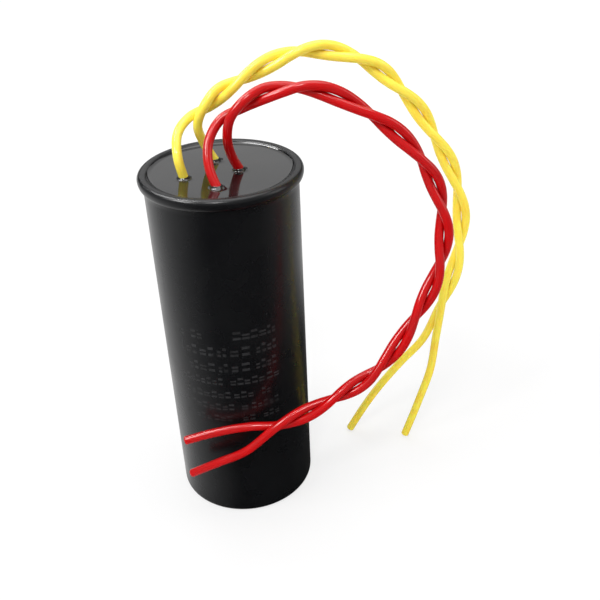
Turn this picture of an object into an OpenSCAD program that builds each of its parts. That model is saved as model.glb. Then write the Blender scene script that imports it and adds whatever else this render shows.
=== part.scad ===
// Dual motor run capacitor: two film windings stacked in one potted round case,
// each winding with its own twisted pair of insulated leads.
// Origin at the centre of the foot, +Z up through the open, potted end.

/* [Case] */
// Outside diameter of the straight wall
case_d = 40; // [38:0.5:48]
// Height from the foot to the top of the lip
case_h = 102; // [100:1:106]
// Thickness of the wall
wall_t = 1.6; // [1.2:0.1:1.8]
// Thickness of the floor, from the foot ring up
floor_t = 2.2; // [1.8:0.1:2.4]
// How far the lip stands out from the wall
lip_out = 1.3; // [1:0.1:1.6]
// Height of the flared underside of the lip
lip_flare_h = 1.9; // [1.5:0.1:3]
// Radius of the rounding on both edges of the lip
lip_round = 1.3; // [1:0.05:1.4]
// Ledge where the flare springs from the wall
lip_ledge = 0.15; // [0.1:0.05:0.3]
// Depth of the potting surface below the top of the lip
potting_drop = 0.8; // [0.7:0.1:1.2]

/* [Windings] */
// Gap between the windings and the wall, where leads run down
winding_gap = 3.4; // [3.2:0.1:4]
// Depth of potting over the upper winding, where leads cross it
top_cover = 8.2; // [8:0.2:12]
// Microfarads of the larger winding, which takes its share of the film
large_uf = 12; // [10:1:14]
// Microfarads of the smaller winding
small_uf = 5; // [4:0.5:7]
// Outside diameter of the plastic core tubes
core_od = 9; // [8:0.5:10]
// Bore of the plastic core tubes
core_id = 6; // [4:0.5:7]
// Thickness of the sprayed metal on each end face
spray_t = 0.6; // [0.4:0.1:0.6]
// Thickness of the insulating disc between the windings
disc_t = 1; // [0.6:0.1:1]

/* [Leads] */
// Diameter over the insulation
lead_d = 2.4; // [2:0.1:2.4]
// Diameter of the bare conductor at the joints
conductor_d = 1; // [0.8:0.1:1]
// Distance from a pair's middle to each lead, along the twist
twist_r = 1.32; // [1.3:0.01:1.5]
// Longest step between two rings of a lead
ring_step = 4.2; // [3.5:0.1:6]

/* [Hidden] */

$fn = 96;

// Case
case_r = case_d / 2;
cavity_r = case_r - wall_t;
lip_z = case_h - lip_round;          // height of the lip's widest ring
flare_z = lip_z - lip_flare_h;
potting_z = case_h - potting_drop;
foot_round = 1;                      // outside rounding at the foot
cavity_round = 1;                    // rounding inside, where wall meets floor
foot_ring_w = 3;
foot_recess_r = case_r - foot_ring_w;
foot_recess_h = 0.5;
gate_r = 1.5;                        // moulding gate left in the foot recess
gate_h = 0.3;
cut_over = 1;                        // how far a cutter runs past a face

// Stack of windings, from the floor up
joint_gap = 1.2;                     // room for a conductor beside an end face
winding_r = cavity_r - winding_gap;
disc_over = 0.2;                     // how far the disc stands out past the windings
disc_r = winding_r + disc_over;
disc_hole_r = 3;
film_l = potting_z - top_cover - floor_t - 3 * joint_gap - disc_t - 4 * spray_t;
winding_12uf_l = film_l * large_uf / (large_uf + small_uf);
winding_5uf_l = film_l - winding_12uf_l;
bottom_12uf = floor_t + joint_gap;
top_12uf = bottom_12uf + winding_12uf_l + 2 * spray_t;
disc_z = top_12uf + joint_gap;
bottom_5uf = disc_z + disc_t + joint_gap;
top_5uf = bottom_5uf + winding_5uf_l + 2 * spray_t;

// Leads inside the potting
side_r = (winding_r + cavity_r) / 2; // middle of the gap beside the windings
bend_r = 2.7;                        // jacket bends inside the potting
bend_share = 0.48;                   // most of the way inwards that one bend may take
crossing_depth = 4;
crossing_z = potting_z - crossing_depth;   // level at which leads run outwards
strip_over = 2.4;                    // jacket stops this far above its joint
conductor_bend_r = 1.4;
joint_inset = 3.5;                   // joints sit this far in from the windings' edge
joint_r = winding_r - joint_inset;
bend_steps = 4;
lead_sides = 8;
strip_top = 1.8;                     // bare length of the lead that drops straight down
joint_top = 0.5;                     // its conductor stops this far above the end face

// Solder joints
solder_base_r = 2;
solder_tip_r = 1.3;
solder_h = 1.1;
solder_top_h = 1.5;                  // the joint under the straight lead stands taller

// Epoxy drawn up round each lead
collar_r = 2.6;
collar_h = 0.9;
collar_tip = 0.2;                    // width left at the top of the collar

// Twisted pairs. The middle of each pair passes through these points, one for
// each half turn of the twist, and one more beyond each end sets its direction.
RED_PAIR = [[0.9, -2, 104.9], [5.6, -2.5, 117.4], [21, -5, 122.2], [38, -8, 114.9],
            [49.7, -11, 103.7], [54.8, -13.5, 91], [54.1, -16.5, 77.3], [47.3, -19.5, 63.2],
            [36.9, -22.5, 49.7], [24.1, -24.5, 42.7], [8.7, -24.5, 35.4],
            [-7.6, -23.5, 29.2]];
YELLOW_PAIR = [[-6.8, 5, 106.4], [-2.6, 5.5, 115.5], [8.2, 6, 122.5], [23.2, 6.5, 128],
               [38.1, 7, 124.5], [48.9, 7, 115.5], [58.1, 7, 102.4], [65.3, 7, 86.8],
               [66.7, 6.5, 69.2], [62.4, 6, 50.2], [56, 6, 31.3]];
twist_from = 0.5;                    // half turns at which the tight twist starts
twist_step = 0.25;                   // half turns between two points of a lead
twist_side = [-0.2, -0.85, 0.5];     // leads are level with the pair's middle seen from here

// Each lead: its way out of the potting up to the twist, and from the twist to its end
RED_A_OUT = [[-1.2, -11.6, potting_z], [-2.7, -8.6, 105.5], [-2.2, -5.1, 110.7],
             [1.5, -2.4, 115.3], [6.6, -1.7, 117.2]];
RED_A_END = [[-1.5, -23.5, 26.2], [-8.2, -22.2, 22.6], [-16.3, -20.2, 17.8]];
RED_B_OUT = [[4.9, -1.4, potting_z], [2.9, -2.1, 106.1], [2.4, -4, 111.6],
             [3.5, -5.1, 116.1], [7.1, -4.7, 120]];
RED_B_END = [[1.6, -22.5, 34.6], [-6.6, -21.7, 33.4], [-16.8, -20.7, 30.6]];
YELLOW_A_OUT = [[-9.2, -4.2, potting_z], [-10.2, -3.5, 106.6], [-9.8, 1.2, 110.9],
                [-6.2, 6.3, 113.6], [-1.1, 7.1, 115.5]];
YELLOW_A_END = [[57.1, 7, 36.8], [50.9, 8, 28.5], [43.3, 9.4, 16.9], [35.1, 11, 0.8]];
YELLOW_B_OUT = [[-1.1, 6.1, potting_z], [-3.7, 5.8, 106.7], [-4.7, 4.6, 111.6],
                [-2.6, 4.1, 116.5]];
YELLOW_B_END = [[60.7, 4.5, 38.2], [59.6, 4, 28.2], [56.5, 4.4, 15.4], [52.6, 5.5, 0.6]];

// ---------------------------------------------------------------- curves

function unit(v) = v / norm(v);

// Distance along the points p at which each one lies
function stations(p) =
    [for (i = 0, t = 0; i < len(p); i = i + 1, t = i < len(p) ? t + norm(p[i] - p[i - 1]) : t) t];

function chord(p, t, i) = (p[i + 1] - p[i]) / (t[i + 1] - t[i]);

// Direction of the smooth curve through p at point i
function slope(p, t, i) =
    i == 0 ? (3 * chord(p, t, 0) - slope(p, t, 1)) / 2
    : i == len(p) - 1 ? (3 * chord(p, t, i - 1) - slope(p, t, i - 1)) / 2
    : (chord(p, t, i - 1) * (t[i + 1] - t[i]) + chord(p, t, i) * (t[i] - t[i - 1]))
      / (t[i + 1] - t[i - 1]);

// Point a fraction f of the way from point i to the next one, on a cubic
function curve(p, t, i, f) =
    (1 + 2 * f) * pow(1 - f, 2) * p[i] + f * f * (3 - 2 * f) * p[i + 1]
    + (t[i + 1] - t[i]) * (f * pow(1 - f, 2) * slope(p, t, i)
                           - f * f * (1 - f) * slope(p, t, i + 1));

// Direction of that cubic at the same place
function heading(p, t, i, f) =
    unit(6 * f * (1 - f) / (t[i + 1] - t[i]) * (p[i + 1] - p[i])
         + (3 * f * f - 4 * f + 1) * slope(p, t, i) + (3 * f * f - 2 * f) * slope(p, t, i + 1));

function smooth(p) =
    let (t = stations(p), last = len(p) - 1)
    concat([for (i = [0:last - 1])
                let (parts = ceil((t[i + 1] - t[i]) / ring_step))
                for (j = [0:parts - 1]) curve(p, t, i, j / parts)],
           [p[last]]);

// One lead of a pair, over the twisted stretch: a left-handed helix about the middle
function twisted(pair, half_turns) =
    let (t = stations(pair), last = len(pair) - 3)
    [for (u = [twist_from:twist_step:last])
        let (i = min(floor(u) + 1, last), f = u + 1 - i,
             along = heading(pair, t, i, f),
             side = unit(twist_side - (twist_side * along) * along),
             across = cross(along, side),
             angle = -180 * (u + half_turns))
        curve(pair, t, i, f) + twist_r * (cos(angle) * side + sin(angle) * across)];

function free_path(out, pair, half_turns, end) =
    smooth(concat(out, twisted(pair, half_turns), end));

// ---------------------------------------------------------------- leads in the potting

function azimuth(p) = atan2(p.y, p.x);
function polar(angle, r, z) = [r * cos(angle), r * sin(angle), z];

// From the joint level up the side gap, inwards over the windings and up to the surface
function side_tail(out, joint_z) =
    let (a = azimuth(out[0]), r0 = norm([out[0].x, out[0].y]),
         turn_r = min(bend_r, bend_share * (side_r - r0)))
    concat([polar(a, side_r, joint_z + strip_over)],
           [for (k = [0:bend_steps])
               let (b = 90 * k / bend_steps)
               polar(a, side_r - turn_r * (1 - cos(b)), crossing_z - turn_r * (1 - sin(b)))],
           [for (k = [0:bend_steps])
               let (b = 90 * k / bend_steps)
               polar(a, r0 + turn_r * (1 - sin(b)), crossing_z + turn_r * (1 - cos(b)))]);

function straight_tail(out) = [[out[0].x, out[0].y, top_5uf + strip_top]];

// Bare conductor: down from the jacket, then inwards over the end face to its joint
function side_conductor(out, joint_z) =
    let (a = azimuth(out[0]))
    concat([polar(a, side_r, joint_z + strip_over)],
           [for (k = [0:bend_steps])
               let (b = 90 * k / bend_steps)
               polar(a, side_r - conductor_bend_r * (1 - cos(b)),
                     joint_z + conductor_bend_r * (1 - sin(b)))],
           [polar(a, joint_r, joint_z)]);

function straight_conductor(out) =
    [[out[0].x, out[0].y, top_5uf + strip_top], [out[0].x, out[0].y, top_5uf + joint_top]];

RED_A_JOINT = top_12uf + joint_gap / 2;
RED_B_JOINT = bottom_12uf - joint_gap / 2;
YELLOW_B_JOINT = bottom_5uf - joint_gap / 2;

RED_A = concat(side_tail(RED_A_OUT, RED_A_JOINT),
               free_path(RED_A_OUT, RED_PAIR, 1, RED_A_END));
RED_B = concat(side_tail(RED_B_OUT, RED_B_JOINT),
               free_path(RED_B_OUT, RED_PAIR, 0, RED_B_END));
YELLOW_A = concat(straight_tail(YELLOW_A_OUT),
                  free_path(YELLOW_A_OUT, YELLOW_PAIR, 1, YELLOW_A_END));
YELLOW_B = concat(side_tail(YELLOW_B_OUT, YELLOW_B_JOINT),
                  free_path(YELLOW_B_OUT, YELLOW_PAIR, 0, YELLOW_B_END));
side_tail_rings = 2 * (bend_steps + 1) + 1;
rings_outside = 3;                   // rings of a lead kept above the potting in its cutter

// ---------------------------------------------------------------- sweeping

function ring_direction(p, i) =
    i == 0 ? unit(p[1] - p[0])
    : i == len(p) - 1 ? unit(p[i] - p[i - 1])
    : unit(unit(p[i + 1] - p[i]) + unit(p[i] - p[i - 1]));

function any_side(d) = unit(cross(d, abs(d.x) < 0.9 ? [1, 0, 0] : [0, 1, 0]));

// Side vector of every ring, carried along the path without spinning
function ring_sides(p) =
    [for (i = 0, s = any_side(ring_direction(p, 0)); i < len(p);
          i = i + 1,
          s = i < len(p)
              ? unit(s - (s * ring_direction(p, i)) * ring_direction(p, i))
              : s) s];

module swept_tube(path, d, rings, sides) {
    side_vectors = ring_sides(path);
    points = [for (i = [0:rings - 1])
                  let (dir = ring_direction(path, i), s = side_vectors[i], c = cross(dir, s))
                  for (k = [0:sides - 1])
                      let (a = 360 * k / sides)
                      path[i] + d / 2 * (cos(a) * s + sin(a) * c)];
    walls = [for (i = [0:rings - 2], k = [0:sides - 1])
                 let (a = i * sides + k, b = i * sides + (k + 1) % sides)
                 each [[a, a + sides, b + sides], [a, b + sides, b]]];
    first = [for (k = [0:sides - 1]) k];
    last = [for (k = [sides - 1:-1:0]) (rings - 1) * sides + k];
    polyhedron(points, concat(walls, [first, last]), convexity = 10);
}

module lead(path) {
    swept_tube(path, lead_d, len(path), lead_sides);
}

// The first rings of a lead, used to cut its way through the potting
module lead_cutter(path, tail_rings) {
    swept_tube(path, lead_d, tail_rings + rings_outside, lead_sides);
}

module conductor(path) {
    swept_tube(path, conductor_d, len(path), lead_sides);
}

// ---------------------------------------------------------------- case and potting

// Half section of the space inside the cup, up to the given height
module cavity_section(top) {
    difference() {
        translate([0, floor_t])
            square([cavity_r, top - floor_t]);
        translate([cavity_r - cavity_round, floor_t])
            difference() {
                square(cavity_round);
                translate([0, cavity_round])
                    circle(cavity_round);
            }
    }
}

// Half section of the flare and of the rounded rim above it
module lip_section() {
    polygon([[cavity_r, flare_z], [case_r + lip_ledge, flare_z],
             [case_r + lip_out, lip_z], [cavity_r, lip_z]]);
    translate([case_r + lip_out - lip_round, lip_z])
        circle(lip_round);
    translate([cavity_r + lip_round, lip_z])
        circle(lip_round);
    translate([cavity_r + lip_round, flare_z])
        square([wall_t + lip_out - 2 * lip_round, case_h - flare_z]);
}

module foot_rounding() {
    translate([case_r - foot_round, 0])
        difference() {
            translate([0, -cut_over])
                square([foot_round + cut_over, foot_round + cut_over]);
            translate([0, foot_round])
                circle(foot_round);
            translate([-foot_round, -cut_over])
                square([foot_round, cut_over]);
        }
}

module case_cup() {
    color("#17181a") {
        rotate_extrude()
            difference() {
                square([case_r, lip_z]);
                cavity_section(case_h);
                foot_rounding();
                square([foot_recess_r, foot_recess_h]);
            }
        rotate_extrude()
            lip_section();
        translate([0, 0, foot_recess_h - gate_h])
            cylinder(r = gate_r, h = gate_h);
    }
}

module collar(out) {
    translate([out[0].x, out[0].y, potting_z])
        cylinder(r1 = collar_r, r2 = lead_d / 2 + collar_tip, h = collar_h);
}

// A winding with its core and both sprayed ends, as one hollow shape
module winding_envelope(bottom, top) {
    difference() {
        translate([0, 0, bottom])
            cylinder(r = winding_r, h = top - bottom);
        translate([0, 0, bottom - cut_over])
            cylinder(r = core_id / 2, h = top - bottom + 2 * cut_over);
    }
}

module potting_compound() {
    color("#202225")
        difference() {
            union() {
                rotate_extrude()
                    cavity_section(potting_z);
                for (out = [RED_A_OUT, RED_B_OUT, YELLOW_A_OUT, YELLOW_B_OUT])
                    collar(out);
            }
            winding_envelope(bottom_12uf, top_12uf);
            winding_envelope(bottom_5uf, top_5uf);
            disc_shape();
            solder_shape(RED_A_OUT, top_12uf, 1);
            solder_shape(RED_B_OUT, bottom_12uf, -1);
            solder_shape(YELLOW_B_OUT, bottom_5uf, -1);
            solder_top_shape();
            conductor(side_conductor(RED_A_OUT, RED_A_JOINT));
            conductor(side_conductor(RED_B_OUT, RED_B_JOINT));
            conductor(side_conductor(YELLOW_B_OUT, YELLOW_B_JOINT));
            conductor(straight_conductor(YELLOW_A_OUT));
            lead_cutter(RED_A, side_tail_rings);
            lead_cutter(RED_B, side_tail_rings);
            lead_cutter(YELLOW_B, side_tail_rings);
            lead_cutter(YELLOW_A, 1);
        }
}

// ---------------------------------------------------------------- windings

module film_winding(bottom, length) {
    color("#c4c9cf")
        translate([0, 0, bottom + spray_t])
            difference() {
                cylinder(r = winding_r, h = length);
                translate([0, 0, -cut_over])
                    cylinder(r = core_od / 2, h = length + 2 * cut_over);
            }
}

module core_tube(bottom, top) {
    color("#ece7d8")
        translate([0, 0, bottom])
            difference() {
                cylinder(r = core_od / 2, h = top - bottom);
                translate([0, 0, -cut_over])
                    cylinder(r = core_id / 2, h = top - bottom + 2 * cut_over);
            }
}

module end_spray(z) {
    color("#8e9398")
        translate([0, 0, z])
            difference() {
                cylinder(r = winding_r, h = spray_t);
                translate([0, 0, -cut_over])
                    cylinder(r = core_od / 2, h = spray_t + 2 * cut_over);
            }
}

module disc_shape() {
    difference() {
        translate([0, 0, disc_z])
            cylinder(r = disc_r, h = disc_t);
        translate([0, 0, disc_z - cut_over])
            cylinder(r = disc_hole_r, h = disc_t + 2 * cut_over);
    }
}

module spacer_disc() {
    color("#cdb98a")
        disc_shape();
}

// A solder joint on an end face: up from it, or hanging under it
module solder_shape(out, face_z, up) {
    a = azimuth(out[0]);
    translate(polar(a, joint_r, up > 0 ? face_z : face_z - solder_h))
        cylinder(r1 = up > 0 ? solder_base_r : solder_tip_r,
                 r2 = up > 0 ? solder_tip_r : solder_base_r, h = solder_h);
}

module solder_top_shape() {
    translate([YELLOW_A_OUT[0].x, YELLOW_A_OUT[0].y, top_5uf])
        cylinder(r1 = solder_base_r, r2 = solder_tip_r, h = solder_top_h);
}

module solder_joint(out, face_z, up, joint_z) {
    color("#b4b8bc")
        difference() {
            solder_shape(out, face_z, up);
            conductor(side_conductor(out, joint_z));
        }
}

module winding_12uf() { film_winding(bottom_12uf, winding_12uf_l); }
module winding_5uf() { film_winding(bottom_5uf, winding_5uf_l); }
module core_tube_12uf() { core_tube(bottom_12uf, top_12uf); }
module core_tube_5uf() { core_tube(bottom_5uf, top_5uf); }
module end_spray_12uf_bottom() { end_spray(bottom_12uf); }
module end_spray_12uf_top() { end_spray(top_12uf - spray_t); }
module end_spray_5uf_bottom() { end_spray(bottom_5uf); }
module end_spray_5uf_top() { end_spray(top_5uf - spray_t); }
module solder_red_a() { solder_joint(RED_A_OUT, top_12uf, 1, RED_A_JOINT); }
module solder_red_b() { solder_joint(RED_B_OUT, bottom_12uf, -1, RED_B_JOINT); }
module solder_yellow_b() { solder_joint(YELLOW_B_OUT, bottom_5uf, -1, YELLOW_B_JOINT); }
module solder_yellow_a() {
    color("#b4b8bc")
        difference() {
            solder_top_shape();
            conductor(straight_conductor(YELLOW_A_OUT));
        }
}

module conductor_red_a() { color("#b5713c") conductor(side_conductor(RED_A_OUT, RED_A_JOINT)); }
module conductor_red_b() { color("#b5713c") conductor(side_conductor(RED_B_OUT, RED_B_JOINT)); }
module conductor_yellow_a() { color("#b5713c") conductor(straight_conductor(YELLOW_A_OUT)); }
module conductor_yellow_b() {
    color("#b5713c") conductor(side_conductor(YELLOW_B_OUT, YELLOW_B_JOINT));
}

module lead_red_a() { color("#c8141c") lead(RED_A); }
module lead_red_b() { color("#c8141c") lead(RED_B); }
module lead_yellow_a() { color("#f6cf1c") lead(YELLOW_A); }
module lead_yellow_b() { color("#f6cf1c") lead(YELLOW_B); }

case_cup();
potting_compound();
winding_12uf();
core_tube_12uf();
end_spray_12uf_bottom();
end_spray_12uf_top();
winding_5uf();
core_tube_5uf();
end_spray_5uf_bottom();
end_spray_5uf_top();
spacer_disc();
solder_red_a();
solder_red_b();
solder_yellow_a();
solder_yellow_b();
conductor_red_a();
conductor_red_b();
conductor_yellow_a();
conductor_yellow_b();
lead_red_a();
lead_red_b();
lead_yellow_a();
lead_yellow_b();
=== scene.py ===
# %% [markdown]
# # A dual motor run capacitor with twisted wire leads
#
# The real object is a black plastic cup about 40 mm across and 102 mm high.
# Two film windings stand inside it, sealed under glossy black epoxy, and four
# insulated leads come up through the epoxy: a red pair for the large winding
# and a yellow pair for the small one. Each pair is twisted together and arches
# over the case to the right.
#
# Everything here is drawn in metres, in the same frame as the solid model:
# the origin is the centre of the foot and +Z runs up the axis of the case.

import bpy
import numpy as np
from mathutils import Matrix


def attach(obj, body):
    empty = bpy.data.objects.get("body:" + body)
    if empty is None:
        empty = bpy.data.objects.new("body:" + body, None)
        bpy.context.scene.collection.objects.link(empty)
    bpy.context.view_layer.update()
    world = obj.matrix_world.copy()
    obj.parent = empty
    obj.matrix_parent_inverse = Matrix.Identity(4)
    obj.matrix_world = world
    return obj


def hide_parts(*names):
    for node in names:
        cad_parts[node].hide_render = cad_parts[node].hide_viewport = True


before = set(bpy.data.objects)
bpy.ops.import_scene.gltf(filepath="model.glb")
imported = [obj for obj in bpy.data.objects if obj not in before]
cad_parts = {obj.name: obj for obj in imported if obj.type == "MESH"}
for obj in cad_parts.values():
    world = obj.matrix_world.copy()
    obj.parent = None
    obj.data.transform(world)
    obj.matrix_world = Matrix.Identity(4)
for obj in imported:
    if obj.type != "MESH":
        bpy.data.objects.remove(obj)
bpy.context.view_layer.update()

# %% [markdown]
# ## Sizes
#
# A maker of such a part thinks in millimetres, so the sizes are written that
# way and turned into metres once, here. They repeat the named sizes of the
# solid model.

# %% Sizes in metres
MM = 0.001
case_r = 20 * MM
cavity_r = 18.4 * MM
case_h = 102 * MM
floor_t = 2.2 * MM
lip_out = 1.3 * MM
lip_round = 1.3 * MM
lip_ledge = 0.15 * MM
lip_z = case_h - lip_round
flare_z = lip_z - 1.9 * MM
potting_z = case_h - 0.8 * MM
lead_d = 2.4 * MM
lead_r = lead_d / 2
strand_r = 0.19 * MM
twist_r = 1.262 * MM
print("case", 2 * case_r, "m across and", case_h, "m high; leads", lead_d, "m")

# %% [markdown]
# ## Camera
#
# The camera stands close to the part, a little above the lip, and looks down
# by about 32 degrees, so the potting and its four leads show. It is set from
# its yaw, pitch and roll. A camera in Blender looks along its own -Z axis,
# with +Y up, so the three unit vectors go into the columns of its matrix.

# %% Set up the camera
camera_place = np.array([0.0, -0.19087, 0.178225])
yaw, pitch, roll = 0.098689, 0.552548, -0.043084
ahead = np.array([np.sin(yaw) * np.cos(pitch), np.cos(yaw) * np.cos(pitch), -np.sin(pitch)])
level = np.cross(ahead, [0.0, 0.0, 1.0])
level /= np.linalg.norm(level)
above = np.cross(level, ahead)
right = np.cos(roll) * level + np.sin(roll) * above
up = np.cos(roll) * above - np.sin(roll) * level

sensor_mm, lens_mm = 36, 47.54
camera = bpy.data.objects.new("camera", bpy.data.cameras.new("camera"))
bpy.context.scene.collection.objects.link(camera)
camera.data.sensor_width = sensor_mm
camera.data.lens = lens_mm
camera.data.clip_start = 0.005
camera.data.clip_end = 20
columns = np.eye(4)
columns[:3, 0], columns[:3, 1], columns[:3, 2], columns[:3, 3] = right, up, -ahead, camera_place
camera.matrix_world = Matrix(columns.tolist())
bpy.context.scene.camera = camera
bpy.context.scene.view_settings.view_transform = "Standard"
print("camera looks down by", round(float(np.degrees(pitch)), 1), "degrees")

# %% [markdown]
# ## From a grid of points to a mesh
#
# Nearly every piece is a surface of two parameters, worked out as one numpy
# array of points with a row for each step along the shape and a column for
# each step round it. One helper turns such a grid into a mesh, and carries a
# UV map along, so that a pattern can follow the surface. Both ends can be
# closed with a fan round one middle point, which leaves no hole at a pole.

# %% Helpers for meshes
def put_in_mesh(name, points, faces, uvs, sharp_deg=40):
    """A mesh from whole arrays: points (n, 3), faces as index rows, one UV a corner.

    Faces are padded with -1 where they have three corners. Edges that turn by
    more than sharp_deg are kept sharp, the rest shade smooth."""
    mesh = bpy.data.meshes.new(name)
    counts = (faces >= 0).sum(axis=1)
    corners = faces[faces >= 0]
    mesh.vertices.add(len(points))
    mesh.vertices.foreach_set("co", points.astype(np.float32).ravel())
    mesh.loops.add(len(corners))
    mesh.loops.foreach_set("vertex_index", corners.astype(np.int32))
    mesh.polygons.add(len(faces))
    starts = np.concatenate([[0], np.cumsum(counts)[:-1]])
    mesh.polygons.foreach_set("loop_start", starts.astype(np.int32))
    mesh.polygons.foreach_set("use_smooth", np.ones(len(faces), bool))
    mesh.update(calc_edges=True)
    layer = mesh.uv_layers.new(name="along")
    layer.data.foreach_set("uv", uvs[faces >= 0].astype(np.float32).ravel())
    mesh.set_sharp_from_angle(angle=np.radians(sharp_deg))
    mesh.validate()
    piece = bpy.data.objects.new(name, mesh)
    bpy.context.scene.collection.objects.link(piece)
    return piece


def wrapped_grid(points, v, close_ends=True):
    """Faces and corner UVs of a grid (rows, columns, 3) whose last column meets its first.

    u runs from 0 to 1 round the columns and v gives a value for each row. With
    close_ends, a point is added in the middle of the first and the last row,
    and a fan of triangles joins it to that row."""
    rows, cols = points.shape[:2]
    i, j = np.meshgrid(np.arange(rows - 1), np.arange(cols), indexing="ij")
    k = (j + 1) % cols
    quads = np.stack([i * cols + j, i * cols + k, (i + 1) * cols + k, (i + 1) * cols + j], -1)
    u0, u1 = j / cols, (j + 1) / cols
    quad_uv = np.stack([np.stack([u0, v[i]], -1), np.stack([u1, v[i]], -1),
                        np.stack([u1, v[i + 1]], -1), np.stack([u0, v[i + 1]], -1)], -2)
    flat = points.reshape(-1, 3)
    faces, uvs = [quads.reshape(-1, 4)], [quad_uv.reshape(-1, 4, 2)]
    if close_ends:
        c = np.arange(cols)
        n = (c + 1) % cols
        blank = np.full(cols, -1)
        first, last = rows * cols, rows * cols + 1
        flat = np.vstack([flat, points[0].mean(0), points[-1].mean(0)])
        faces.append(np.stack([n, c, np.full(cols, first), blank], -1))
        faces.append(np.stack([(rows - 1) * cols + c, (rows - 1) * cols + n,
                               np.full(cols, last), blank], -1))
        for row, order in ((0, (c + 1, c)), (rows - 1, (c, c + 1))):
            fan = np.zeros((cols, 4, 2))
            fan[:, 0, 0], fan[:, 1, 0] = order[0] / cols, order[1] / cols
            fan[:, 2, 0] = (c + 0.5) / cols
            fan[:, :, 1] = v[row]
            uvs.append(fan)
    return flat, np.vstack(faces), np.vstack(uvs)


print("helpers ready: a grid of points becomes a mesh")

# %% [markdown]
# ## Materials: one helper for moulded, cast and drawn finishes
#
# Plastic is never one even colour. Three patterns make most of its look: a
# broad one that shifts colour and gloss a little over the piece, a fine one
# that raises the skin by hundredths of a millimetre, and sparse specks of
# dust or pits. The helper builds them on one Principled shader. Numbers that
# are the same all over stay on the shader's own sockets.

# %% Helpers for materials
def start_material(name, colour, roughness, **sockets):
    """A node material with one Principled shader; sockets sets its other inputs by name."""
    material = bpy.data.materials.new(name + "_finish")
    material.use_nodes = True
    shader = material.node_tree.nodes["Principled BSDF"]
    shader.inputs["Base Color"].default_value = (*colour, 1)
    shader.inputs["Roughness"].default_value = roughness
    for socket, value in sockets.items():
        shader.inputs[socket.replace("_", " ")].default_value = value
    material.diffuse_color = (*colour, 1)
    return material


def add_node(material, kind, settings=None, **inputs):
    """A new node of that kind, in a material or the world.

    Inputs are numbers, colours or other nodes' outputs. A socket goes by its
    name, or by i and its number where several sockets share a name."""
    made = material.node_tree.nodes.new(kind)
    for key, value in (settings or {}).items():
        setattr(made, key, value)
    for socket, value in inputs.items():
        target = made.inputs[int(socket[1:])] if socket[0] == "i" and socket[1:].isdigit() \
            else made.inputs[socket.replace("_", " ")]
        if isinstance(value, bpy.types.NodeSocket):
            material.node_tree.links.new(value, target)
        else:
            target.default_value = value
    return made


def coordinates(material, kind="Object", scale=(1, 1, 1)):
    """Texture coordinates of that kind, stretched by a Mapping node."""
    source = add_node(material, "ShaderNodeTexCoord")
    return add_node(material, "ShaderNodeMapping", Vector=source.outputs[kind],
                    Scale=scale).outputs[0]


def noise(material, where, scale, detail=3.0, rough=0.55):
    """A Noise Texture's grey value, about 0.5 on average."""
    return add_node(material, "ShaderNodeTexNoise", Vector=where, Scale=scale, Detail=detail,
                    Roughness=rough).outputs[0]


def spread(material, value, low, high, start=0.35, stop=0.65):
    """Turns the band start..stop of a pattern into the range low..high."""
    made = add_node(material, "ShaderNodeMapRange", i0=value, i1=start, i2=stop, i3=low, i4=high)
    return made.outputs[0]


def blend_colours(material, factor, first, second):
    """Mixes two colours, or outputs of other nodes, by a factor."""
    made = add_node(material, "ShaderNodeMix", {"data_type": "RGBA"}, i0=factor, i6=first,
                    i7=second)
    return made.outputs[2]


def maths(material, operation, *values):
    """A Math node's result, from numbers or outputs of other nodes, in order."""
    inputs = {"i" + str(k): value for k, value in enumerate(values)}
    return add_node(material, "ShaderNodeMath", {"operation": operation}, **inputs).outputs[0]


def connect(material, value, socket):
    """Links a node's output to an input of the material's shader."""
    shader = material.node_tree.nodes["Principled BSDF"]
    material.node_tree.links.new(value, shader.inputs[socket])


def raise_skin(material, value, height, normal=None):
    """A Bump node that raises the skin by up to height metres where value is 1."""
    extra = {} if normal is None else {"Normal": normal}
    made = add_node(material, "ShaderNodeBump", Height=value, Distance=height, Strength=1.0,
                    **extra)
    return made.outputs[0]


def rgba(r, g, b):
    """A colour with full cover, as node sockets want it."""
    return (r, g, b, 1.0)


print("helpers ready: textures, blends, maths and raised skin")


# %% [markdown]
# ## The insulation of the leads
#
# The leads are copper strand in drawn PVC. Drawing leaves faint streaks along
# the wire and slow changes of gloss, so the pattern must follow the wire and
# not the room. Every lead has its own UV map, with v in wire diameters along
# it, and the noise is stretched along v.

# %% Two insulation finishes
def insulation(name, colour, deep, reach, through=0.2):
    """Semi-gloss PVC: streaks along the wire between colour and deep, soft gloss changes.

    The share through of the light goes through the skin; reach says how far each
    colour gets."""
    material = start_material(name, colour[:3], 0.2, IOR=1.5, Subsurface_Weight=through,
                              Subsurface_Scale=0.0008, Subsurface_Radius=reach)
    along = coordinates(material, "UV", (9, 0.35, 1))
    streaks = noise(material, along, 1.6, 4)
    patches = noise(material, coordinates(material, "Object"), 160, 3)
    both = maths(material, "MULTIPLY", streaks, patches)
    connect(material, blend_colours(material, spread(material, both, 0.0, 0.55, 0.16, 0.4),
                                    colour, deep), "Base Color")
    connect(material, spread(material, patches, 0.14, 0.24), "Roughness")
    fine = noise(material, coordinates(material, "UV", (14, 2.5, 1)), 3.0, 3)
    slow = noise(material, coordinates(material, "UV", (1, 0.25, 1)), 1.0, 1)
    swell = raise_skin(material, slow, 0.00006)
    connect(material, raise_skin(material, fine, 0.000012, swell), "Normal")
    return material


red_pvc = insulation("red_pvc", rgba(0.51, 0.002, 0.003), rgba(0.34, 0.001, 0.002),
                     (1.0, 0.1, 0.1))
yellow_pvc = insulation("yellow_pvc", rgba(0.98, 0.83, 0.1), rgba(0.98, 0.6, 0.03),
                        (1.0, 0.42, 0.08), 0.3)
print("insulation finishes:", red_pvc.name, "and", yellow_pvc.name)
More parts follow.
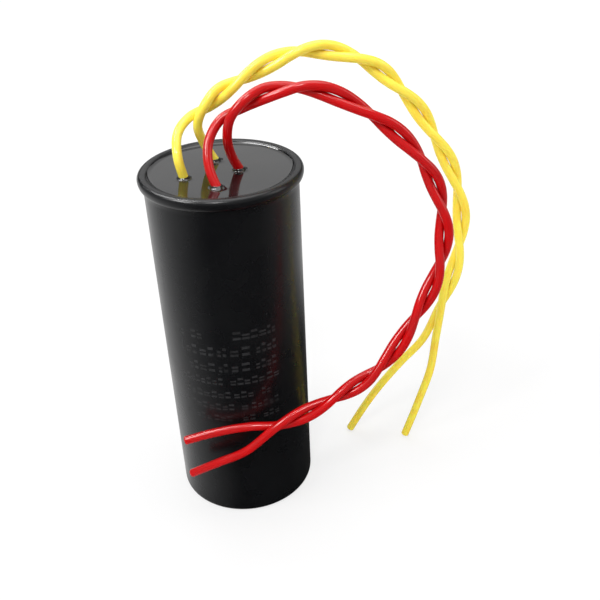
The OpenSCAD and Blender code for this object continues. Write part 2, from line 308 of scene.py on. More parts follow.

# %% [markdown]
# ## The route of each lead
#
# A lead can't be drawn freely, because it has a real length and it turns
# round its partner. The middle of each pair is a smooth curve through a few
# points, one for each half turn of the twist, and each lead is a helix of
# 1.26 mm round it, so the two just miss each other. Before the twist, a lead
# rises out of the epoxy, and after it the two ends part. The points are given
# in millimetres.

# %% Points of the leads
red_middle = [[0.9, -2, 104.9], [5.6, -2.5, 117.4], [21, -5, 122.2], [38, -8, 114.9],
              [49.7, -11, 103.7], [54.8, -13.5, 91], [54.1, -16.5, 77.3],
              [47.3, -19.5, 63.2], [36.9, -22.5, 49.7], [24.1, -24.5, 42.7],
              [8.7, -24.5, 35.4], [-7.6, -23.5, 29.2]]
yellow_middle = [[-6.8, 5, 106.4], [-2.6, 5.5, 115.5], [8.2, 6, 122.5], [23.2, 6.5, 128],
                 [38.1, 7, 124.5], [48.9, 7, 115.5], [58.1, 7, 102.4], [65.3, 7, 86.8],
                 [66.7, 6.5, 69.2], [62.4, 6, 50.2], [56, 6, 31.3]]
leads = {
    "red_a": dict(middle=red_middle, turned=1,
                  out=[[-1.2, -11.6, 101.2], [-2.7, -8.6, 105.5], [-2.2, -5.1, 110.7],
                       [1.5, -2.4, 115.3], [6.6, -1.7, 117.2]],
                  end=[[-1.5, -23.5, 26.2], [-8.2, -22.2, 22.6], [-16.3, -20.2, 17.8]]),
    "red_b": dict(middle=red_middle, turned=0,
                  out=[[4.9, -1.4, 101.2], [2.9, -2.1, 106.1], [2.4, -4, 111.6],
                       [3.5, -5.1, 116.1], [7.1, -4.7, 120]],
                  end=[[1.6, -22.5, 34.6], [-6.6, -21.7, 33.4], [-16.8, -20.7, 30.6]]),
    "yellow_a": dict(middle=yellow_middle, turned=1,
                     out=[[-9.2, -4.2, 101.2], [-10.2, -3.5, 106.6], [-9.8, 1.2, 110.9],
                          [-6.2, 6.3, 113.6], [-1.1, 7.1, 115.5]],
                     end=[[57.1, 7, 36.8], [50.9, 8, 28.5], [43.3, 9.4, 16.9], [35.1, 11, 0.8]]),
    "yellow_b": dict(middle=yellow_middle, turned=0,
                     out=[[-1.1, 6.1, 101.2], [-3.7, 5.8, 106.7], [-4.7, 4.6, 111.6],
                          [-2.6, 4.1, 116.5]],
                     end=[[60.7, 4.5, 38.2], [59.6, 4, 28.2], [56.5, 4.4, 15.4],
                          [52.6, 5.5, 0.6]]),
}
print("points of the red middle:", len(red_middle), "and of the yellow:", len(yellow_middle))

# %% [markdown]
# ## A smooth curve through points
#
# Between two neighbouring points the curve is a cubic. The two cubics that
# meet at a point share one direction there, so the curve has no kink. That
# direction is the mean of the two chords, and the shorter chord counts more.

# %% Smooth curves
def stations(p):
    """Distance along the points p at which each one lies."""
    return np.concatenate([[0], np.cumsum(np.linalg.norm(np.diff(p, axis=0), axis=1))])


def slopes(p, t):
    """Direction of the smooth curve at each point: the neighbours' chords, weighted by length."""
    chord = np.diff(p, axis=0) / np.diff(t)[:, None]
    step = np.diff(t)[:, None]
    m = np.zeros_like(p)
    m[1:-1] = (chord[:-1] * step[1:] + chord[1:] * step[:-1]) / (step[1:] + step[:-1])
    m[0] = (3 * chord[0] - m[1]) / 2
    m[-1] = (3 * chord[-1] - m[-2]) / 2
    return m


def on_curve(p, i, f):
    """Points and directions a fraction f of the way from point i to the next (arrays)."""
    t = stations(p)
    m = slopes(p, t)
    h = (t[i + 1] - t[i])[:, None]
    f = f[:, None]
    place = ((1 + 2 * f) * (1 - f) ** 2 * p[i] + f * f * (3 - 2 * f) * p[i + 1]
             + h * (f * (1 - f) ** 2 * m[i] - f * f * (1 - f) * m[i + 1]))
    way = (6 * f * (1 - f) / h * (p[i + 1] - p[i]) + (3 * f * f - 4 * f + 1) * m[i]
           + (3 * f * f - 2 * f) * m[i + 1])
    return place, way / np.linalg.norm(way, axis=1, keepdims=True)


def smooth_route(p, step):
    """Points about step apart on the smooth curve through p."""
    t = stations(p)
    parts = np.ceil(np.diff(t) / step).astype(int)
    i = np.repeat(np.arange(len(parts)), parts)
    j = np.arange(len(i)) - np.repeat(np.cumsum(parts) - parts, parts)
    place, _ = on_curve(p, i, j / parts[i])
    return np.vstack([place, p[-1]])


print("a curve through the red middle has", len(smooth_route(np.array(red_middle), 1.0)), "points")

# %% [markdown]
# ## One lead turned round the other
#
# A lead of a pair lies twist_r from the middle, and its partner lies on the
# other side. From each point of the middle to the next, both go half a turn
# round it, so the twist is tight where the points lie close together. The
# angle needs a direction to start from. One direction that the middle never
# runs along serves for the whole length.

# %% Helices and whole routes
facing = np.array([-0.2, -0.85, 0.5])


def helix(middle, turned, first=0.5, step=0.25):
    """One lead of a pair: the middle plus twist_r, turned left by 180 degrees a point.

    The angle is measured from the facing direction with its part along the
    middle taken out. The two leads of a pair differ in turned, by one half turn."""
    last = len(middle) - 3
    u = np.arange(first, last + 1e-9, step)
    i = np.minimum(np.floor(u).astype(int) + 1, last)
    place, way = on_curve(middle, i, u + 1 - i)
    side = facing - (way @ facing)[:, None] * way
    side /= np.linalg.norm(side, axis=1, keepdims=True)
    angle = -np.pi * (u + turned)
    return place + twist_r * (np.cos(angle)[:, None] * side
                              + np.sin(angle)[:, None] * np.cross(way, side))


def lead_route(facts, step=0.6 * MM):
    """Way out, twist and free end of one lead as one smooth route, in metres."""
    middle = np.array(facts["middle"], float) * MM
    return smooth_route(np.vstack([np.array(facts["out"], float) * MM,
                                   helix(middle, facts["turned"]),
                                   np.array(facts["end"], float) * MM]), step)


routes = {name: lead_route(facts) for name, facts in leads.items()}

# %% [markdown]
# ## Sweeping the tubes
#
# Each lead is a circle carried along its route. The circle needs a steady
# side direction, or the pattern would spin. None of these routes ever runs
# along Y, so Y with its part along the route taken out is a steady side
# everywhere, and no step has to wait for the one before it. The cut end has
# a slightly broken edge, a flat face and a recess for the copper.

# %% Tubes along the routes
def carried_circle(route, radii, sides=24):
    """Rings of the given radii round the points of a route; also the frame vectors."""
    way = np.gradient(route, axis=0)
    way /= np.linalg.norm(way, axis=1, keepdims=True)
    side = np.array([0.0, 1.0, 0.0]) - way[:, 1:2] * way
    side /= np.linalg.norm(side, axis=1, keepdims=True)
    over = np.cross(way, side)
    a = np.linspace(0, 2 * np.pi, sides, endpoint=False)
    ring = np.cos(a)[None, :, None] * side[:, None] + np.sin(a)[None, :, None] * over[:, None]
    return route[:, None] + radii[:, None, None] * ring, way, side, over


def sweep_lead(name, route, root=1.5 * MM):
    """A PVC tube from a root under the epoxy to its square cut end with a bored middle."""
    rings, ways, sides, overs = carried_circle(route, np.full(len(route), lead_r))
    a = np.linspace(0, 2 * np.pi, rings.shape[1], endpoint=False)
    last = np.cos(a)[:, None] * sides[-1] + np.sin(a)[:, None] * overs[-1]
    below = route[0] - root * ways[0]
    edge, bore, depth = 0.1 * MM, 0.6 * MM, 0.9 * MM
    steps = np.array([-edge, -edge * 0.3, 0, 0, -edge * 0.5, -depth])
    end_radii = np.array([lead_r, lead_r - edge * 0.3, lead_r - edge, bore + edge * 0.5, bore,
                          bore])
    tail = route[-1] + steps[:, None] * ways[-1]
    finish = tail[:, None] + end_radii[:, None, None] * last[None]
    grid = np.concatenate([rings[:1] - root * ways[0], rings[:-1], finish])
    v = stations(np.vstack([below, route[:-1], tail])) / lead_d
    points, faces, uvs = wrapped_grid(grid, v)
    return put_in_mesh(name, points, faces, uvs)


print("a tube is swept with a circle", lead_d, "m across")

# %% [markdown]
# ## Copper in the cut ends
#
# A cut end shows seven strands, one in the middle and six round it, a little
# uneven and slightly turned, as a cutter leaves them. They are bare copper,
# with darker tarnish in patches.

# %% Strands and their copper
def strand_tip(name, route, length=2.2 * MM):
    """Seven copper strands in the cut end: one in the middle, six round it, domed tips."""
    _, ways, sides, overs = carried_circle(route, np.full(len(route), lead_r))
    way, side, over = ways[-1], sides[-1], overs[-1]
    around = np.linspace(0, 2 * np.pi, 6, endpoint=False)
    place = np.vstack([[0, 0], np.stack([np.cos(around), np.sin(around)], -1) * 2.02 * strand_r])
    rows = np.array([0, 0.5, 0.9, 0.96, 1.0])
    radii = np.array([1, 1, 1, 0.8, 0.35]) * strand_r
    lay = rows * 0.5
    turned = place[:, None] * np.cos(lay)[None, :, None] \
        + np.stack([-place[:, 1], place[:, 0]], -1)[:, None] * np.sin(lay)[None, :, None]
    uneven = np.array([0.0, -0.06, 0.03, -0.1, 0.02, -0.04, -0.08]) * MM
    a = np.linspace(0, 2 * np.pi, 10, endpoint=False)
    flat = turned[:, :, None] + radii[None, :, None, None] * np.stack([np.cos(a), np.sin(a)], -1)
    height = (rows * length - length)[None, :] + uneven[:, None]
    points, faces, uvs = [], [], []
    for k in range(len(place)):
        grid = (route[-1] + flat[k, :, :, :1] * side + flat[k, :, :, 1:] * over
                + height[k][:, None, None] * way)
        p, f, uv = wrapped_grid(grid, rows)
        faces.append(np.where(f >= 0, f + sum(map(len, points)), -1))
        points.append(p)
        uvs.append(uv)
    return put_in_mesh(name, np.vstack(points), np.vstack(faces), np.vstack(uvs))


copper = start_material("bare_copper", (0.78, 0.36, 0.2), 0.28, Metallic=1.0)
tarnish = noise(copper, coordinates(copper), 2500, 3)
connect(copper, blend_colours(copper, spread(copper, tarnish, 0, 0.6), rgba(0.8, 0.4, 0.23),
                              rgba(0.45, 0.19, 0.11)), "Base Color")
connect(copper, spread(copper, tarnish, 0.22, 0.45), "Roughness")
print("copper finish has", len(copper.node_tree.nodes), "nodes")

# %% [markdown]
# ## The four leads
#
# Each tube stands for one lead of the solid model, which is hidden, and its
# strands go with it.

# %% Leads and their strands
for name, route in routes.items():
    tube = sweep_lead("insulation_" + name, route)
    tube.data.materials.append(red_pvc if name.startswith("red") else yellow_pvc)
    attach(tube, "root")
    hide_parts("lead_" + name)
    tip = strand_tip("strand_tip_" + name, route)
    tip.data.materials.append(copper)
    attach(tip, "root")
    print(tube.name, "has", len(tube.data.polygons), "faces")

# %% [markdown]
# ## The case: a turned profile
#
# The cup is injection moulded, and round, so half of its section is enough.
# The section starts at the middle of the underside, runs out over the gate
# mark and the foot ring, up the wall, over a fine step, a quarter of an
# ellipse and the round lip, and down inside to the middle of the floor.
# Small roundings at the corners catch the light as moulded edges do; a
# corner without one looks cut from paper.

# %% Turn the case
def rounding(r, z, radius, start_deg, stop_deg, parts=8):
    """Points on a circle of that radius round (r, z), from one angle to another."""
    a = np.radians(np.linspace(start_deg, stop_deg, parts + 1))
    return np.stack([r + radius * np.cos(a), z + radius * np.sin(a)], -1)


def turned_piece(name, section, columns=256, sharp_deg=40):
    """Turns a section (radius, height), given from pole to pole, round the Z axis."""
    a = np.linspace(0, 2 * np.pi, columns, endpoint=False)
    grid = np.stack([section[:, :1] * np.cos(a), section[:, :1] * np.sin(a),
                     np.repeat(section[:, 1:], columns, axis=1)], -1)
    v = stations(section) / case_h
    points, faces, uvs = wrapped_grid(grid, v)
    return put_in_mesh(name, points, faces, uvs, sharp_deg)


edge_r = 0.12 * MM
pole_r = 0.2 * MM
gate_r, gate_z = 1.5 * MM, 0.2 * MM
recess_z, recess_row_r = 0.5 * MM, 9 * MM
foot_inner_r, foot_round = 17 * MM, 1 * MM
floor_round = 1 * MM
wall_heights = np.linspace(2, 97.2, 24) * MM
flare = np.radians(np.linspace(15, 90, 6))[:, None]
case_section = np.vstack([
    [[pole_r, gate_z]], rounding(gate_r - edge_r, gate_z + edge_r, edge_r, -90, 0, 4),
    [[gate_r, recess_z], [recess_row_r, recess_z], [foot_inner_r - edge_r, recess_z]],
    rounding(foot_inner_r + edge_r, edge_r, edge_r, 180, 270, 4),
    [[case_r - foot_round, 0]],
    rounding(case_r - foot_round, foot_round, foot_round, -80, 0, 10),
    np.stack([np.full_like(wall_heights, case_r), wall_heights], -1),
    [[case_r, flare_z - 0.06 * MM], [case_r + 0.03 * MM, flare_z - 0.01 * MM],
     [case_r + lip_ledge - 0.05 * MM, flare_z], [case_r + lip_ledge, flare_z + 0.05 * MM]],
    np.hstack([case_r + lip_ledge + (lip_out - lip_ledge) * np.sin(flare),
               lip_z + (flare_z - lip_z) * np.cos(flare)])[:-1],
    rounding(case_r + lip_out - lip_round, lip_z, lip_round, 0, 90, 12),
    rounding(cavity_r + lip_round, lip_z, lip_round, 90, 180, 12),
    [[cavity_r, 97.6 * MM], [cavity_r, 60 * MM], [cavity_r, floor_t + floor_round]],
    rounding(cavity_r - floor_round, floor_t + floor_round, floor_round, 0, -90, 6),
    [[pole_r, floor_t]],
])
case_shell = turned_piece("case_shell", case_section, sharp_deg=50)
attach(case_shell, "root")
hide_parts("case_cup")
print("case section has", len(case_section), "points;", len(case_shell.data.polygons), "faces")

# %% [markdown]
# ## Black moulded plastic
#
# The case is satin, not a mirror: reflections are soft and waver a little,
# because the skin copies a lightly grained mould. Handling adds hair-fine
# scratches, duller patches and a little pale dust. Scratches are noise
# stretched very far in one direction, kept only at its peaks.

# %% Finish of the case
case_plastic = start_material("case_plastic", (0.004, 0.0043, 0.005), 0.25, IOR=1.47)
room = coordinates(case_plastic)
broad = noise(case_plastic, room, 55, 4)
grain = noise(case_plastic, room, 2600, 2)
ripple = noise(case_plastic, room, 170, 2)
scratch_up = noise(case_plastic, coordinates(case_plastic, "Object", (1, 1, 0.03)), 1700, 2)
scratch_round = noise(case_plastic, coordinates(case_plastic, "Object", (0.05, 0.05, 1)), 2100, 2)
hairs = maths(case_plastic, "MAXIMUM", spread(case_plastic, scratch_up, 0, 1, 0.7, 0.78),
              spread(case_plastic, scratch_round, 0, 1, 0.71, 0.79))
dust = noise(case_plastic, room, 1500, 1)
specks = spread(case_plastic, dust, 0, 0.25, 0.77, 0.81)
shade = blend_colours(case_plastic, spread(case_plastic, broad, 0, 1), rgba(0.003, 0.0032, 0.004),
                      rgba(0.005, 0.0053, 0.0062))
connect(case_plastic, blend_colours(case_plastic, specks, shade, rgba(0.1, 0.1, 0.105)),
        "Base Color")
gloss = spread(case_plastic, broad, 0.23, 0.31)
connect(case_plastic, maths(case_plastic, "MULTIPLY_ADD", hairs, 0.1, gloss), "Roughness")
waves = raise_skin(case_plastic, ripple, 0.00003)
connect(case_plastic, raise_skin(case_plastic, grain, 0.0000025, waves), "Normal")
case_shell.data.materials.append(case_plastic)
print("case finish has", len(case_plastic.node_tree.nodes), "nodes")

# %% [markdown]
# ## The potting: a liquid surface that set
#
# Epoxy is poured in as a liquid, so its skin is a mirror that climbs a little
# where it meets the lip and the leads. Round a lead, this meniscus falls away
# with distance almost as exp(-distance), and at the lip it is part of a
# circle. The surface is a height over a polar grid: a level pool, plus the
# hollow at the lip, plus one climb round each lead.

# %% Potting surface
pool_gap, skin_gap = 0.01 * MM, 0.005 * MM
fillet_r = 1.35 * MM
fillet_slope = np.radians(44)
contact = potting_z - lip_z + fillet_r * (1 - np.cos(fillet_slope))
skin_r = cavity_r + lip_round - np.sqrt(lip_round ** 2 - contact ** 2) - skin_gap
climb_h, climb_reach, climb_passes = 0.8 * MM, 0.42 * MM, 12
exits = np.array([facts["out"][0][:2] for facts in leads.values()]) * MM
leans = np.array([np.subtract(facts["out"][1], facts["out"][0]) for facts in leads.values()])
leans = leans[:, :2] / leans[:, 2:]


def climb(distance, height, reach):
    """Meniscus height at a distance from what it climbs: height at 0, gone at 5 reaches."""
    x = np.clip(distance, 0, None) / reach
    return height * np.exp(-x) * np.clip(1 - x / 5, 0, 1) ** 2


def wall_fillet(distance):
    """Height of the round hollow in which the epoxy meets the lip, at a distance from it."""
    x = np.clip(fillet_r * np.sin(fillet_slope) - distance, 0, None)
    return fillet_r - np.sqrt(fillet_r ** 2 - x ** 2)


def pool_height(x, y):
    """Height of the set epoxy over the point (x, y).

    The climb round a lead depends on the distance to its slanting axis at the
    height of the skin itself, so it is found in a few passes, each of which
    goes half of the way to the height that the last one asks for."""
    r = np.hypot(x, y)
    z = potting_z + wall_fillet(skin_r - r)
    lead_climb = np.zeros_like(x)
    for place, lean in zip(exits, leans):
        axis = np.array([*lean, 1.0]) / np.linalg.norm([*lean, 1.0])
        height = np.zeros_like(x)
        for _ in range(climb_passes):
            apart = np.stack([x - place[0], y - place[1], height], -1)
            d = np.linalg.norm(np.cross(apart, axis), axis=-1) - lead_r
            height = (height + climb(d, climb_h, climb_reach)) / 2
        lead_climb = np.maximum(lead_climb, height)
    uneven = 0.02 * MM * (np.sin(x / (4.1 * MM) + 1.3) * np.sin(y / (5.3 * MM))
                          + 0.6 * np.sin((x + 1.7 * y) / (7.9 * MM)))
    return z + lead_climb + uneven * np.clip((skin_r - r) / (3 * MM), 0, 1)


fine_band, middle_r = 2.4 * MM, 0.15 * MM
fine_rows, wide_rows, pool_columns = 24, 124, 432
radii = np.concatenate([np.linspace(skin_r, skin_r - fine_band, fine_rows)[:-1],
                        np.linspace(skin_r - fine_band, middle_r, wide_rows)])
a = np.linspace(0, 2 * np.pi, pool_columns, endpoint=False)
x, y = radii[:, None] * np.cos(a), radii[:, None] * np.sin(a)
skin = np.stack([x, y, pool_height(x, y)], -1)
side_z = np.concatenate([[floor_t + 0.02 * MM, 40 * MM],
                         lip_z + contact * np.array([0, 0.3, 0.6, 0.9])])
past_lip_z = np.clip(side_z - lip_z, 0, None)
side_r = cavity_r - pool_gap + lip_round - np.sqrt(lip_round ** 2 - past_lip_z ** 2)
side_r[0] = cavity_r - floor_round
side = np.stack([side_r[:, None] * np.cos(a), side_r[:, None] * np.sin(a),
                 np.repeat(side_z[:, None], len(a), axis=1)], -1)
pool_grid = np.concatenate([side, skin])
points, faces, uvs = wrapped_grid(pool_grid, np.linspace(0, 1, len(pool_grid)))
potting_pool = put_in_mesh("potting_pool", points, faces, uvs, 60)
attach(potting_pool, "root")
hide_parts("potting_compound")
print("potting skin climbs to", round(float(skin[..., 2].max() / MM), 2), "mm")

# %% [markdown]
# ## Glossy cast epoxy
#
# Set epoxy is nearly as smooth as glass. A faint haze changes its gloss from
# place to place, it sags by hundredths of a millimetre, and a few bubbles
# have left tiny pits.

# %% Finish of the potting
epoxy = start_material("potting_epoxy", (0.006, 0.0062, 0.007), 0.07, IOR=1.62)
cast = coordinates(epoxy)
haze = noise(epoxy, cast, 130, 4)
pits = noise(epoxy, cast, 900, 1)
connect(epoxy, spread(epoxy, haze, 0.035, 0.13), "Roughness")
connect(epoxy, blend_colours(epoxy, spread(epoxy, haze, 0, 1), rgba(0.005, 0.0052, 0.006),
                             rgba(0.009, 0.0092, 0.01)), "Base Color")
sagging = raise_skin(epoxy, noise(epoxy, cast, 75, 2), 0.00003)
connect(epoxy, raise_skin(epoxy, spread(epoxy, pits, 0, 1, 0.76, 0.84), -0.00002, sagging),
        "Normal")
potting_pool.data.materials.append(epoxy)
print("epoxy finish has", len(epoxy.node_tree.nodes), "nodes")

# %% [markdown]
# ## The faded rating print
#
# On the real part, ink on the front of the wall gives ratings. Here it is a
# generic block of short grey strokes in rows, with no words in it. A row is
# (height and size of the row in mm, spans in degrees from the front), and each
# span is cut into marks of one to three strokes, in a fixed order. Each stroke
# is a small curved patch a hundredth of a millimetre proud of the wall, so it
# follows the round case.

# %% Rows of short strokes
print_rows = [
    (63.2, 2.6, [(-45, -38), (-31, -22), (2, 8), (9, 15), (16, 21), (22, 28), (29, 36)]),
    (58.2, 2.9, [(-44, -40), (-37, -28), (-25, -20), (-18, -14), (-11, -4), (-1, 5), (8, 14),
                 (19, 36)]),
    (53.1, 2.7, [(-36, -28), (-26, -21), (-19, -14), (-11, -4), (-1, 4), (7, 13), (18, 35)]),
    (48.5, 2.3, [(-45, -28), (-27, -9), (-3, 7), (8, 24), (26, 37)]),
    (44.0, 2.2, [(-42, -34), (-32, -21), (-19, -4), (-1, 14), (21, 28)]),
    (39.8, 2.1, [(-39, -24), (-22, -2), (4, 9), (12, 35)]),
    (35.8, 1.9, [(-45, -22), (-19, -4), (4, 14), (21, 35)]),
]
front_deg = -95.0
strokes = [[(-0.5, -0.2), (0.2, 0.5)], [(-0.5, 0.5)], [(-0.5, -0.25), (-0.08, 0.15)],
           [(-0.15, 0.15), (0.32, 0.5)]]


def cut_to_marks(rows, mark=4.6, gap=1.4):
    """Cuts each span into marks about mark degrees wide, with gap degrees between them.

    The number of strokes so far picks the pattern of the next mark."""
    marks = []
    for z, tall, spans in rows:
        for start, stop in spans:
            count = max(1, round((stop - start) / mark))
            edges = np.linspace(start, stop + gap, count + 1)
            for left, right in zip(edges[:-1], edges[1:] - gap):
                for low, high in strokes[len(marks) % len(strokes)]:
                    marks.append((z + tall * low, z + tall * high, left, right))
    return np.array(marks)


def print_marks(name, marks, proud=0.012 * MM, steps=3):
    """Curved patches on the wall, one for each (low, high, start, stop) in mm and degrees."""
    t = np.linspace(0, 1, steps + 1)
    angle = np.radians(front_deg + marks[:, 2:3] + (marks[:, 3:4] - marks[:, 2:3]) * t)
    ring = (case_r + proud) * np.stack([np.cos(angle), np.sin(angle)], -1)
    ends = np.stack([np.broadcast_to(marks[:, k:k + 1], angle.shape) for k in (0, 1)], 1)
    points = np.concatenate([np.stack([ring, ring], 1), ends[..., None] * MM], -1)
    base = np.arange(len(marks))[:, None] * 2 * (steps + 1)
    s = np.arange(steps)[None]
    faces = np.stack([base + s, base + s + 1, base + steps + 2 + s, base + steps + 1 + s], -1)
    uvs = np.zeros((len(marks), steps, 4, 2))
    uvs[..., 0, 0] = uvs[..., 3, 0] = t[:-1]
    uvs[..., 1, 0] = uvs[..., 2, 0] = t[1:]
    uvs[..., 2:, 1] = 1
    return put_in_mesh(name, points.reshape(-1, 3), faces.reshape(-1, 4),
                       uvs.reshape(-1, 4, 2))


rating_print = print_marks("rating_print", cut_to_marks(print_rows))
print(len(rating_print.data.polygons), "patches of ink")

# %% [markdown]
# ## Thin worn ink
#
# The ink has nearly worn off, so it is only a little lighter than the case,
# and matter. Noise between two dark greys makes it patchy.

# %% Finish of the print
ink = start_material("worn_ink", (0.023, 0.0232, 0.025), 0.4, IOR=1.45)
worn = noise(ink, coordinates(ink), 420, 3)
connect(ink, blend_colours(ink, spread(ink, worn, 0, 1, 0.42, 0.68), rgba(0.023, 0.0232, 0.025),
                           rgba(0.011, 0.0112, 0.012)), "Base Color")
connect(ink, spread(ink, worn, 0.34, 0.48), "Roughness")
connect(ink, raise_skin(ink, worn, 0.000002), "Normal")
rating_print.data.materials.append(ink)
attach(rating_print, "root")
print("ink finish has", len(ink.node_tree.nodes), "nodes")

# %% [markdown]
# ## What is sealed inside
#
# The windings, cores, sprayed ends, disc, joints and conductors keep their
# solid shapes, because the epoxy hides them. They still get finishes made for
# them, so that a section cut through the part looks right.

# %% Finishes of the sealed pieces
def two_tone(name, first, second, scale, rough, height=0.0, stretch=(1, 1, 1), **sockets):
    """Noise between two colours and two roughness values, with a raised skin."""
    material = start_material(name, first[:3], rough[0], **sockets)
    pattern = noise(material, coordinates(material, "Object", stretch), scale, 4)
    connect(material, blend_colours(material, spread(material, pattern, 0, 1), first, second),
            "Base Color")
    connect(material, spread(material, pattern, rough[0], rough[1]), "Roughness")
    if height:
        connect(material, raise_skin(material, pattern, height), "Normal")
    return material


film = two_tone("metallised_film", rgba(0.78, 0.8, 0.83), rgba(0.62, 0.65, 0.69), 900,
                (0.18, 0.32), 0.000004, (1, 1, 0.04), Metallic=0.9)
core = two_tone("core_plastic", rgba(0.86, 0.83, 0.74), rgba(0.78, 0.74, 0.64), 400,
                (0.4, 0.55), 0.000006, IOR=1.47)
zinc = two_tone("sprayed_zinc", rgba(0.56, 0.58, 0.6), rgba(0.34, 0.35, 0.37), 3500,
                (0.55, 0.8), 0.00006, Metallic=0.85)
tin = two_tone("solder", rgba(0.74, 0.75, 0.77), rgba(0.58, 0.59, 0.62), 1200, (0.14, 0.32),
               0.00001, Metallic=1.0)
board = two_tone("insulating_board", rgba(0.74, 0.62, 0.42), rgba(0.62, 0.5, 0.32), 1800,
                 (0.7, 0.85), 0.00002, (1, 1, 0.3))
inner_finish = {"winding": film, "core": core, "end": zinc, "spacer": board, "solder": tin,
                "conductor": copper}
for name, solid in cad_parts.items():
    finish = inner_finish.get(name.split("_")[0])
    if finish is not None:
        solid.data.materials.clear()
        solid.data.materials.append(finish)
print("finishes inside:", sorted(material.name for material in set(inner_finish.values())))

# %% [markdown]
# ## A plain white studio
#
# The floor is one sheet that bends up into a wall far behind. The bend is a
# quarter of a circle, so no corner or horizon shows behind the part.

# %% Floor and wall sheet
def bent_sheet(name, half=1.6, back=1.1, bend=0.5, tall=1.4):
    """Floor at z = 0 that turns up at the back over a quarter circle into a wall."""
    a = np.radians(np.linspace(-90, 0, 17))
    line = np.vstack([[[-half, 0.0]], np.stack([back + bend * np.cos(a),
                                                bend + bend * np.sin(a)], -1),
                      [[back + bend, tall]]])
    across = np.array([-half, half])
    grid = np.stack([np.broadcast_to(across, (len(line), 2)),
                     np.repeat(line[:, :1], 2, axis=1), np.repeat(line[:, 1:], 2, axis=1)], -1)
    i = np.arange(len(line) - 1)
    faces = np.stack([2 * i, 2 * i + 1, 2 * i + 3, 2 * i + 2], -1)
    uvs = np.zeros((len(faces), 4, 2))
    return put_in_mesh(name, grid.reshape(-1, 3), faces, uvs, 80)


studio_sheet = bent_sheet("studio_sheet")
print("studio sheet has", len(studio_sheet.data.polygons), "faces")

# %% [markdown]
# ## Paper that looks different to each kind of ray
#
# The eye of the camera sees white paper: a light of its own, a little stronger
# away from the part, plus a grey diffuse share that takes the part's shadow.
# To the gloss of the black case the paper glows instead, as a painted reflection of a lit room. It
# is bright on the left and behind, dim in front, where the camera stands, and it brightens again
# from the right to the back. Close to the part, the glow from the right is kept dark, a painted
# shadow of the part, except behind it. Without that fall-off, a black part looks like grey
# plastic. All other rays meet plain pale paper, which lights the part evenly. The glow goes by the
# bearing round the part: 0 is in front, and it grows to the right.

# %% Paper of the sheet
# Each value goes from low to high while the distance or height in metres, or the
# bearing in radians, goes from start to stop: (low, high, start, stop).
left_glow = (0.89, 0.02, -2.1, -0.58)
left_edge_shift = (-0.4, 0.0, 0.03, 0.12)
right_glow = (0.03, 0.9, 0.8, 3.14)
# Painted shadow: close to the part, the glow from the right is kept dark, except behind it.
painted_shadow_near_part = (0.05, 1.0, 0.09, 0.15)
not_dark_behind = (0.0, 1.0, 2.3, 3.1)
glow_fades_up = (1.0, 0.0, 0.02, 0.3)
white_outward = (0.68, 0.8, 0.1, 0.45)
shadow_grey = 0.24

paper = start_material("studio_paper", (0.9, 0.9, 0.9), 0.8)
paper.cycles.emission_sampling = "NONE"
ray = add_node(paper, "ShaderNodeLightPath")
floor_place = add_node(paper, "ShaderNodeTexCoord").outputs["Object"]
parts = add_node(paper, "ShaderNodeSeparateXYZ", Vector=floor_place)
bearing = maths(paper, "ARCTAN2", parts.outputs[0],
                maths(paper, "MULTIPLY", parts.outputs[1], -1.0))
away = add_node(paper, "ShaderNodeVectorMath", {"operation": "LENGTH"}, i0=floor_place).outputs[1]

shifted = maths(paper, "ADD", bearing, spread(paper, away, *left_edge_shift))
left_side = spread(paper, shifted, *left_glow)
open_floor = maths(paper, "MAXIMUM", spread(paper, away, *painted_shadow_near_part),
                   spread(paper, bearing, *not_dark_behind))
right_side = maths(paper, "MULTIPLY", spread(paper, bearing, *right_glow), open_floor)
# The glow is a painted reflection of a lit room; the gloss of the case sees it, and the paper is
# no lamp.
painted_room_glow = maths(paper, "MULTIPLY", maths(paper, "ADD", left_side, right_side),
                  spread(paper, parts.outputs[2], *glow_fades_up))

glow = add_node(paper, "ShaderNodeEmission", Color=rgba(1, 1, 1), Strength=painted_room_glow)
white = add_node(paper, "ShaderNodeEmission", Color=rgba(1, 1, 1),
                 Strength=spread(paper, away, *white_outward))
grey = add_node(paper, "ShaderNodeBsdfDiffuse", Color=rgba(shadow_grey, shadow_grey, shadow_grey))
eye = add_node(paper, "ShaderNodeAddShader", i0=white.outputs[0], i1=grey.outputs[0])
lit = paper.node_tree.nodes["Principled BSDF"]
to_eye = add_node(paper, "ShaderNodeMixShader", i0=ray.outputs["Is Camera Ray"],
                  i1=lit.outputs[0], i2=eye.outputs[0])
to_gloss = add_node(paper, "ShaderNodeMixShader", i0=ray.outputs["Is Glossy Ray"],
                    i1=to_eye.outputs[0], i2=glow.outputs[0])
surface = paper.node_tree.nodes["Material Output"].inputs["Surface"]
paper.node_tree.links.new(to_gloss.outputs[0], surface)
studio_sheet.data.materials.append(paper)
print("paper has", len(paper.node_tree.nodes), "nodes")

# %% [markdown]
# ## Lamps
#
# A broad lamp overhead and a smaller one from the upper left light the part.
# A small one in front draws thin highlights along the leads and the lip, a
# weak one on the right opens the shade, and a panel behind is what the level
# potting mirrors.

# %% Area lamps
def area_lamp(name, place, aim, wide, tall, radiance):
    """A rectangular lamp at place that faces aim; power gives it that radiance."""
    lamp = bpy.data.lights.new(name, "AREA")
    lamp.shape, lamp.size, lamp.size_y = "RECTANGLE", wide, tall
    lamp.energy = radiance * np.pi * wide * tall
    made = bpy.data.objects.new(name, lamp)
    bpy.context.scene.collection.objects.link(made)
    back = np.subtract(place, aim)
    back /= np.linalg.norm(back)
    side = np.cross([0.0, 0.0, 1.0], back)
    side /= np.linalg.norm(side)
    matrix = np.eye(4)
    matrix[:3, 0], matrix[:3, 1], matrix[:3, 2], matrix[:3, 3] = \
        side, np.cross(back, side), back, place
    made.matrix_world = Matrix(matrix.tolist())
    return made


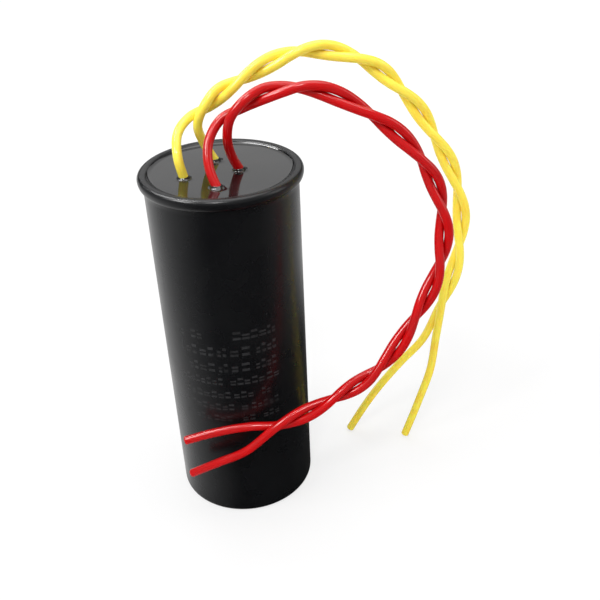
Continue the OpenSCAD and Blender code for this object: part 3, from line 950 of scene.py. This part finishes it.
lamp_aim = (0.01, 0, 0.06)
lamp_table = [
    ("key_left", (-0.5, -0.2, 0.6), 0.3, 0.2, 15),
    ("overhead", (0.06, 0.1, 0.9), 0.9, 0.6, 2.4),
    ("small_front", (-0.12, -0.45, 0.75), 0.12, 0.12, 38),
    ("weak_right", (0.7, -0.15, 0.45), 0.35, 0.5, 1.6),
    ("panel_behind", (0.05, 0.85, 0.62), 1.1, 0.6, 0.82),
]
lamps = [area_lamp(name, place, lamp_aim, wide, tall, radiance)
         for name, place, wide, tall, radiance in lamp_table]
print("lamps:", [lamp.name for lamp in lamps])

# %% [markdown]
# ## The air round the studio
#
# The world lights the part plainly from all sides and is white to the camera.
# In gloss it is dim, apart from one bright strip high on the left, cut into
# dashes as a row of lamps would be. The hollow at the back right of the lip
# mirrors it as a line of small highlights. A sine along the strip, kept where
# it is high enough, makes the dashes.

# %% World
plain_light, gloss_light, strip_light = 0.5, 0.28, 19.0
strip_half_long, strip_half_wide = 0.32, 0.11
dash_waves, dash_level = 95.0, -0.45

strip_toward = np.array([-0.506, 0.246, 0.827])
strip_toward /= np.linalg.norm(strip_toward)
strip_along = np.array([0.334, -0.796, 0.505])
strip_along -= (strip_along @ strip_toward) * strip_toward
strip_along /= np.linalg.norm(strip_along)

world = bpy.data.worlds.new("studio_air")
bpy.context.scene.world = world
world.use_nodes = True
look = add_node(world, "ShaderNodeTexCoord").outputs["Generated"]


def looks_along(axis):
    """How far the direction of the ray runs along an axis: their dot product."""
    return add_node(world, "ShaderNodeVectorMath", {"operation": "DOT_PRODUCT"}, i0=look,
                    i1=axis).outputs[1]


lengthways = looks_along(strip_along)
widthways = looks_along(np.cross(strip_toward, strip_along))
in_length = maths(world, "LESS_THAN", maths(world, "ABSOLUTE", lengthways), strip_half_long)
in_width = maths(world, "LESS_THAN", maths(world, "ABSOLUTE", widthways), strip_half_wide)
wave = maths(world, "SINE", maths(world, "MULTIPLY", lengthways, dash_waves))
dashes = maths(world, "GREATER_THAN", wave, dash_level)
this_side = maths(world, "GREATER_THAN", looks_along(strip_toward), 0.0)
strip = maths(world, "MULTIPLY", maths(world, "MULTIPLY", in_length, in_width),
              maths(world, "MULTIPLY", dashes, this_side))

kind = add_node(world, "ShaderNodeLightPath")
to_gloss_ray = maths(world, "MULTIPLY_ADD", strip, strip_light, gloss_light)
to_others = maths(world, "MULTIPLY_ADD", kind.outputs["Is Camera Ray"], 1.0 - plain_light,
                  plain_light)
strength = maths(world, "MULTIPLY_ADD", kind.outputs["Is Glossy Ray"],
                 maths(world, "SUBTRACT", to_gloss_ray, to_others), to_others)
background = world.node_tree.nodes["Background"]
background.inputs["Color"].default_value = rgba(1, 1, 1)
world.node_tree.links.new(strength, background.inputs["Strength"])
print("world has", len(world.node_tree.nodes), "nodes")
